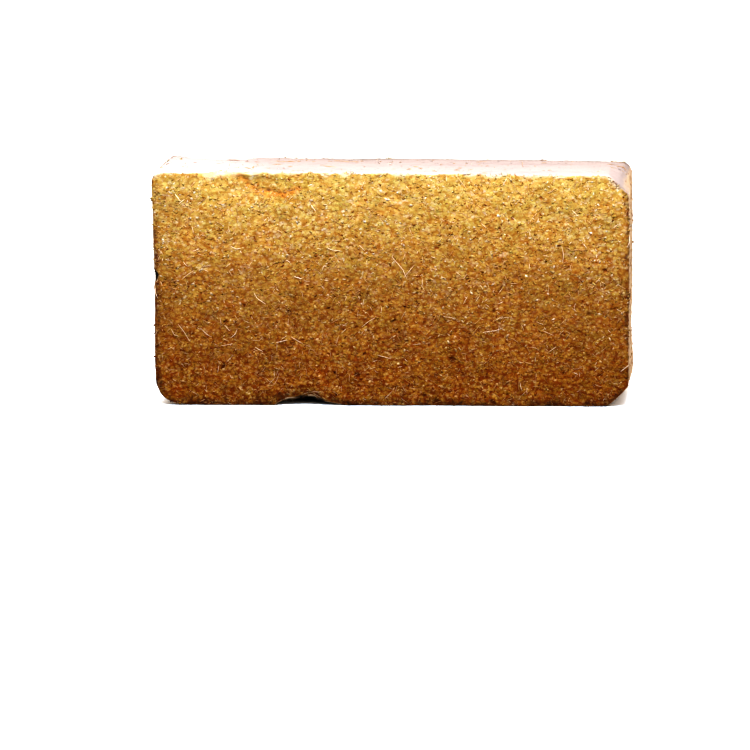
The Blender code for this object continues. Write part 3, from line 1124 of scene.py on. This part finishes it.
def floor_material():
    """A plain pale studio floor."""
    m = Nodes("studio_floor")
    grain = m.noise("floor")
    m.bump(grain, *FLOOR_BUMP)
    return m.finish(FLOOR_COLOUR, m.span(grain, "floor_roughness"))


def add_floor():
    """The floor that the bale stands on, wide enough to fill the frame."""
    half = FLOOR_SIZE / 2
    mesh = bpy.data.meshes.new("floor")
    corners = [(-half, -half, 0), (half, -half, 0), (half, half, 0), (-half, half, 0)]
    mesh.from_pydata(corners, [], [(0, 1, 2, 3)])
    mesh.materials.append(floor_material())
    floor = bpy.data.objects.new("floor", mesh)
    bpy.context.scene.collection.objects.link(floor)


def add_lamp(name, place, aim, size, spread, power, colour):
    """A rectangular soft lamp. It isn't seen itself."""
    light = bpy.data.lights.new(name, "AREA")
    light.shape = "RECTANGLE"
    light.size, light.size_y = size
    light.spread = math.radians(spread)
    light.energy = power
    light.color = colour
    lamp = bpy.data.objects.new(name, light)
    lamp.location = place
    lamp.rotation_mode = "QUATERNION"
    lamp.rotation_quaternion = (Vector(aim) - Vector(place)).to_track_quat("-Z", "Y")
    lamp.visible_camera = False
    bpy.context.scene.collection.objects.link(lamp)


def add_room():
    """The pale room around the bale, which lights it softly from all sides."""
    world = bpy.data.worlds.new("room")
    world.use_nodes = True
    nodes, links = world.node_tree.nodes, world.node_tree.links
    towards = nodes.new("ShaderNodeTexCoord").outputs["Generated"]
    split = nodes.new("ShaderNodeSeparateXYZ")
    links.new(towards, split.inputs[0])
    above = nodes.new("ShaderNodeMath")
    above.operation = "MAXIMUM"
    above.inputs[1].default_value = 0.0
    links.new(split.outputs["Z"], above.inputs[0])
    focused = nodes.new("ShaderNodeMath")
    focused.operation = "POWER"
    focused.inputs[1].default_value = ROOM_FOCUS
    links.new(above.outputs[0], focused.inputs[0])
    strength = nodes.new("ShaderNodeMapRange")
    strength.inputs["To Min"].default_value = ROOM_WALLS
    strength.inputs["To Max"].default_value = ROOM_CEILING
    links.new(focused.outputs[0], strength.inputs["Value"])
    background = nodes["Background"]
    background.inputs["Color"].default_value = (*ROOM_COLOUR, 1.0)
    links.new(strength.outputs["Result"], background.inputs["Strength"])
    bpy.context.scene.world = world


def add_camera():
    """The camera at the photograph's viewing angle."""
    azimuth, elevation, roll = map(math.radians, (CAMERA_AZIMUTH, CAMERA_ELEVATION, CAMERA_ROLL))
    back = Vector((math.sin(azimuth) * math.cos(elevation), -math.cos(azimuth) * math.cos(elevation),
                   math.sin(elevation)))
    level_right = Vector((0, 0, 1)).cross(back).normalized()
    level_up = back.cross(level_right)
    right = level_right * math.cos(roll) + level_up * math.sin(roll)
    up = level_up * math.cos(roll) - level_right * math.sin(roll)
    camera = bpy.data.objects.new("camera", bpy.data.cameras.new("camera"))
    camera.data.lens = CAMERA_LENS
    camera.data.sensor_width = CAMERA_SENSOR
    camera.data.clip_end = CAMERA_SEES_TO
    turned = Matrix((right, up, back)).transposed().to_4x4()
    camera.matrix_world = Matrix.Translation(CAMERA_AIM + back * CAMERA_DISTANCE) @ turned
    bpy.context.scene.collection.objects.link(camera)
    bpy.context.scene.camera = camera


def set_view():
    """How light becomes picture tones: neutral, with strong contrast."""
    view = bpy.context.scene.view_settings
    view.view_transform = "Standard"
    view.look = VIEW_LOOK


def make_bale():
    """The body of the bale, its crumbs and its fibres."""
    rng = np.random.default_rng(SCATTER_SEED)
    plain = plain_bale()
    surface = Surface(plain)
    pith, crumb, fibre = pith_material(), crumb_material(), fibre_material()
    make_body(plain, surface, pith)
    for side, count in CRUMBS_PER_SIDE.items():
        make_crumbs(surface, side, count, crumb, rng)
    make_fibres("fibres_short", surface, SHORT_FIBRES, SHORT_SPAN, SHORT_RADIUS, SHORT_SHAPE, fibre, rng)
    make_fibres("fibres_long", surface, LONG_FIBRES, LONG_SPAN, LONG_RADIUS, LONG_SHAPE, fibre, rng)
    make_front_fibres(surface, fibre, rng)


make_bale()
add_floor()
for lamp_name, lamp in LAMPS.items():
    add_lamp(lamp_name, *lamp)
add_room()
add_camera()
set_view()
